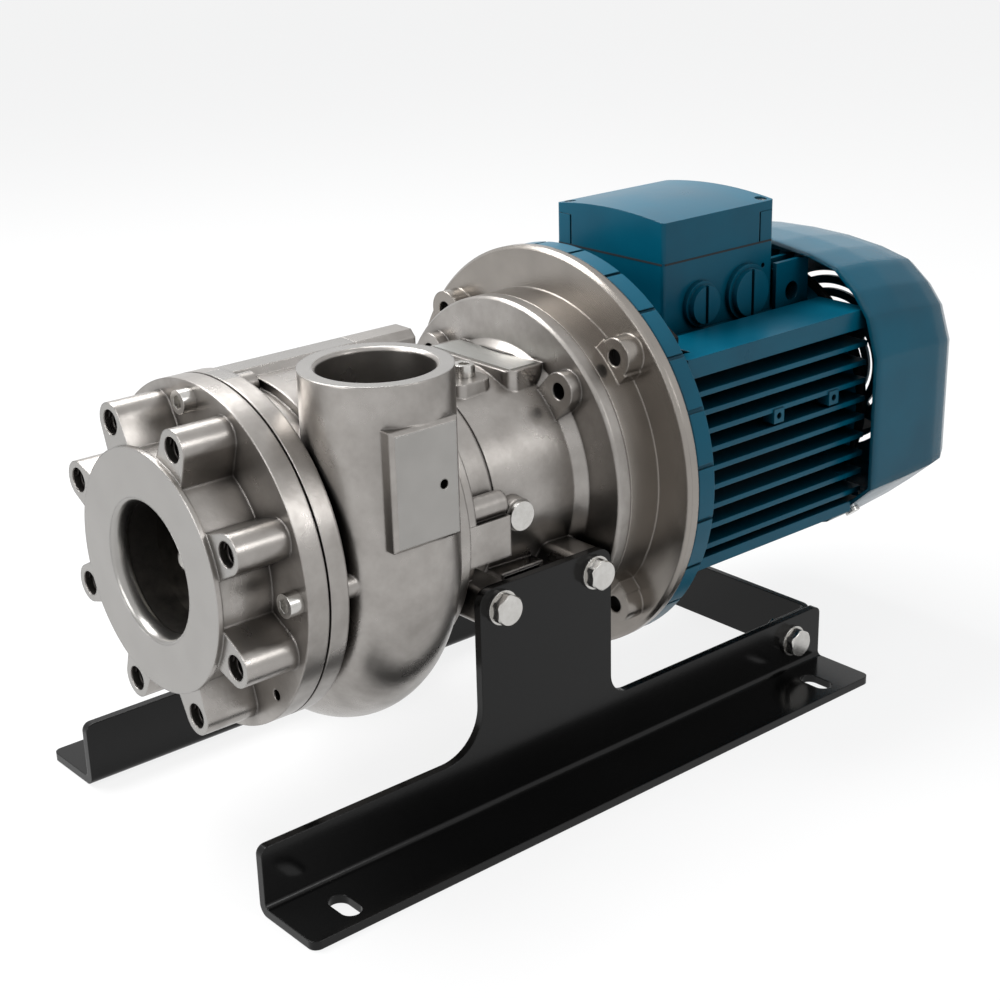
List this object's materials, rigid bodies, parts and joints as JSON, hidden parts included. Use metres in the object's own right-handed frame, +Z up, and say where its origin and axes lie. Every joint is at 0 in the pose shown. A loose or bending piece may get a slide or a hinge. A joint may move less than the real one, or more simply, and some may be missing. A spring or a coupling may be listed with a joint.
{
  "type": "screw centrifugal pump",
  "caption": "Close-coupled screw centrifugal pump: open suction cover with eight tapped bosses, vertical discharge, bracket, finned motor, two bent rails.",
  "frame": {"origin": "centre of the four foundation slots, on the floor plane under the rails", "axes": "+X along the shaft from the suction mouth to the fan end, +Z up, -Y towards the discharge side"},
  "size_m": [0.556, 0.273, 0.3045],
  "materials": {
    "stainless_casting": "satin blasted casting",
    "stainless_fastener": "bright",
    "sealing_rubber": "matte",
    "dark_liner": "as cast",
    "shaft_steel": "ground",
    "seal_ceramic": "lapped",
    "plate_aluminium": "satin",
    "motor_paint": "semi-gloss",
    "core_steel": "laminated",
    "winding_copper": "varnished",
    "bearing_steel": "polished",
    "fan_plastic": "matte",
    "plug_plastic": "semi-gloss",
    "board_plastic": "matte",
    "base_paint": "gloss black"
  },
  "bodies": {
    "housing": {"suction_cover": "stainless_casting", "cover_screws": "stainless_fastener", "cover_o_ring": "sealing_rubber", "wear_liner": "dark_liner", "casing_o_ring": "sealing_rubber", "volute_casing": "stainless_casting", "seal_housing": "stainless_casting", "housing_screws": "stainless_fastener", "seal_seat": "seal_ceramic", "bracket": "stainless_casting", "name_plate": "plate_aluminium", "port_plug": "stainless_fastener", "side_port_plug": "stainless_fastener", "adapter_ring": "stainless_casting", "adapter_screws": "stainless_fastener", "drive_shield": "motor_paint", "motor_screws": "stainless_fastener", "lip_seal": "sealing_rubber", "motor_frame": "motor_paint", "stator_core": "core_steel", "stator_windings": "winding_copper", "drive_bearing_outer": "bearing_steel", "fan_bearing_outer": "bearing_steel", "rear_shield": "motor_paint", "fan_cowl": "motor_paint", "cowl_screws": "stainless_fastener", "terminal_box": "motor_paint", "terminal_lid": "motor_paint", "lid_screws": "stainless_fastener", "gland_plug_small": "plug_plastic", "gland_plug_large": "plug_plastic", "terminal_board": "board_plastic", "rail_near": "base_paint", "rail_far": "base_paint", "cross_member": "base_paint", "plate_bolts": "stainless_fastener", "plate_washers": "stainless_fastener", "cross_bolts": "stainless_fastener", "cross_washers": "stainless_fastener", "cross_nuts": "stainless_fastener"},
    "rotor_group": {"shaft": "shaft_steel", "screw_impeller": "stainless_casting", "impeller_screw": "stainless_fastener", "impeller_key": "shaft_steel", "rotor": "core_steel", "cooling_fan": "fan_plastic", "drive_bearing_inner": "bearing_steel", "fan_bearing_inner": "bearing_steel", "seal_face": "seal_ceramic", "seal_body": "shaft_steel", "seal_spring": "shaft_steel"},
    "drive_ball_set": {"drive_bearing_balls": "bearing_steel"},
    "fan_ball_set": {"fan_bearing_balls": "bearing_steel"}
  },
  "joints": [
    {"name": "shaft_spin", "type": "hinge", "parent": "housing", "child": "rotor_group", "pos_m": [0, 0, 0.164], "axis": [1, 0, 0], "continuous": true},
    {"name": "drive_ball_spin", "type": "hinge", "parent": "housing", "child": "drive_ball_set", "pos_m": [0.0845, 0, 0.164], "axis": [1, 0, 0], "continuous": true},
    {"name": "fan_ball_spin", "type": "hinge", "parent": "housing", "child": "fan_ball_set", "pos_m": [0.244, 0, 0.164], "axis": [1, 0, 0], "continuous": true}
  ],
  "couplings": [
    {"joint": "drive_ball_spin", "follows": "shaft_spin", "ratio": 0.396},
    {"joint": "fan_ball_spin", "follows": "shaft_spin", "ratio": 0.396}
  ]
}
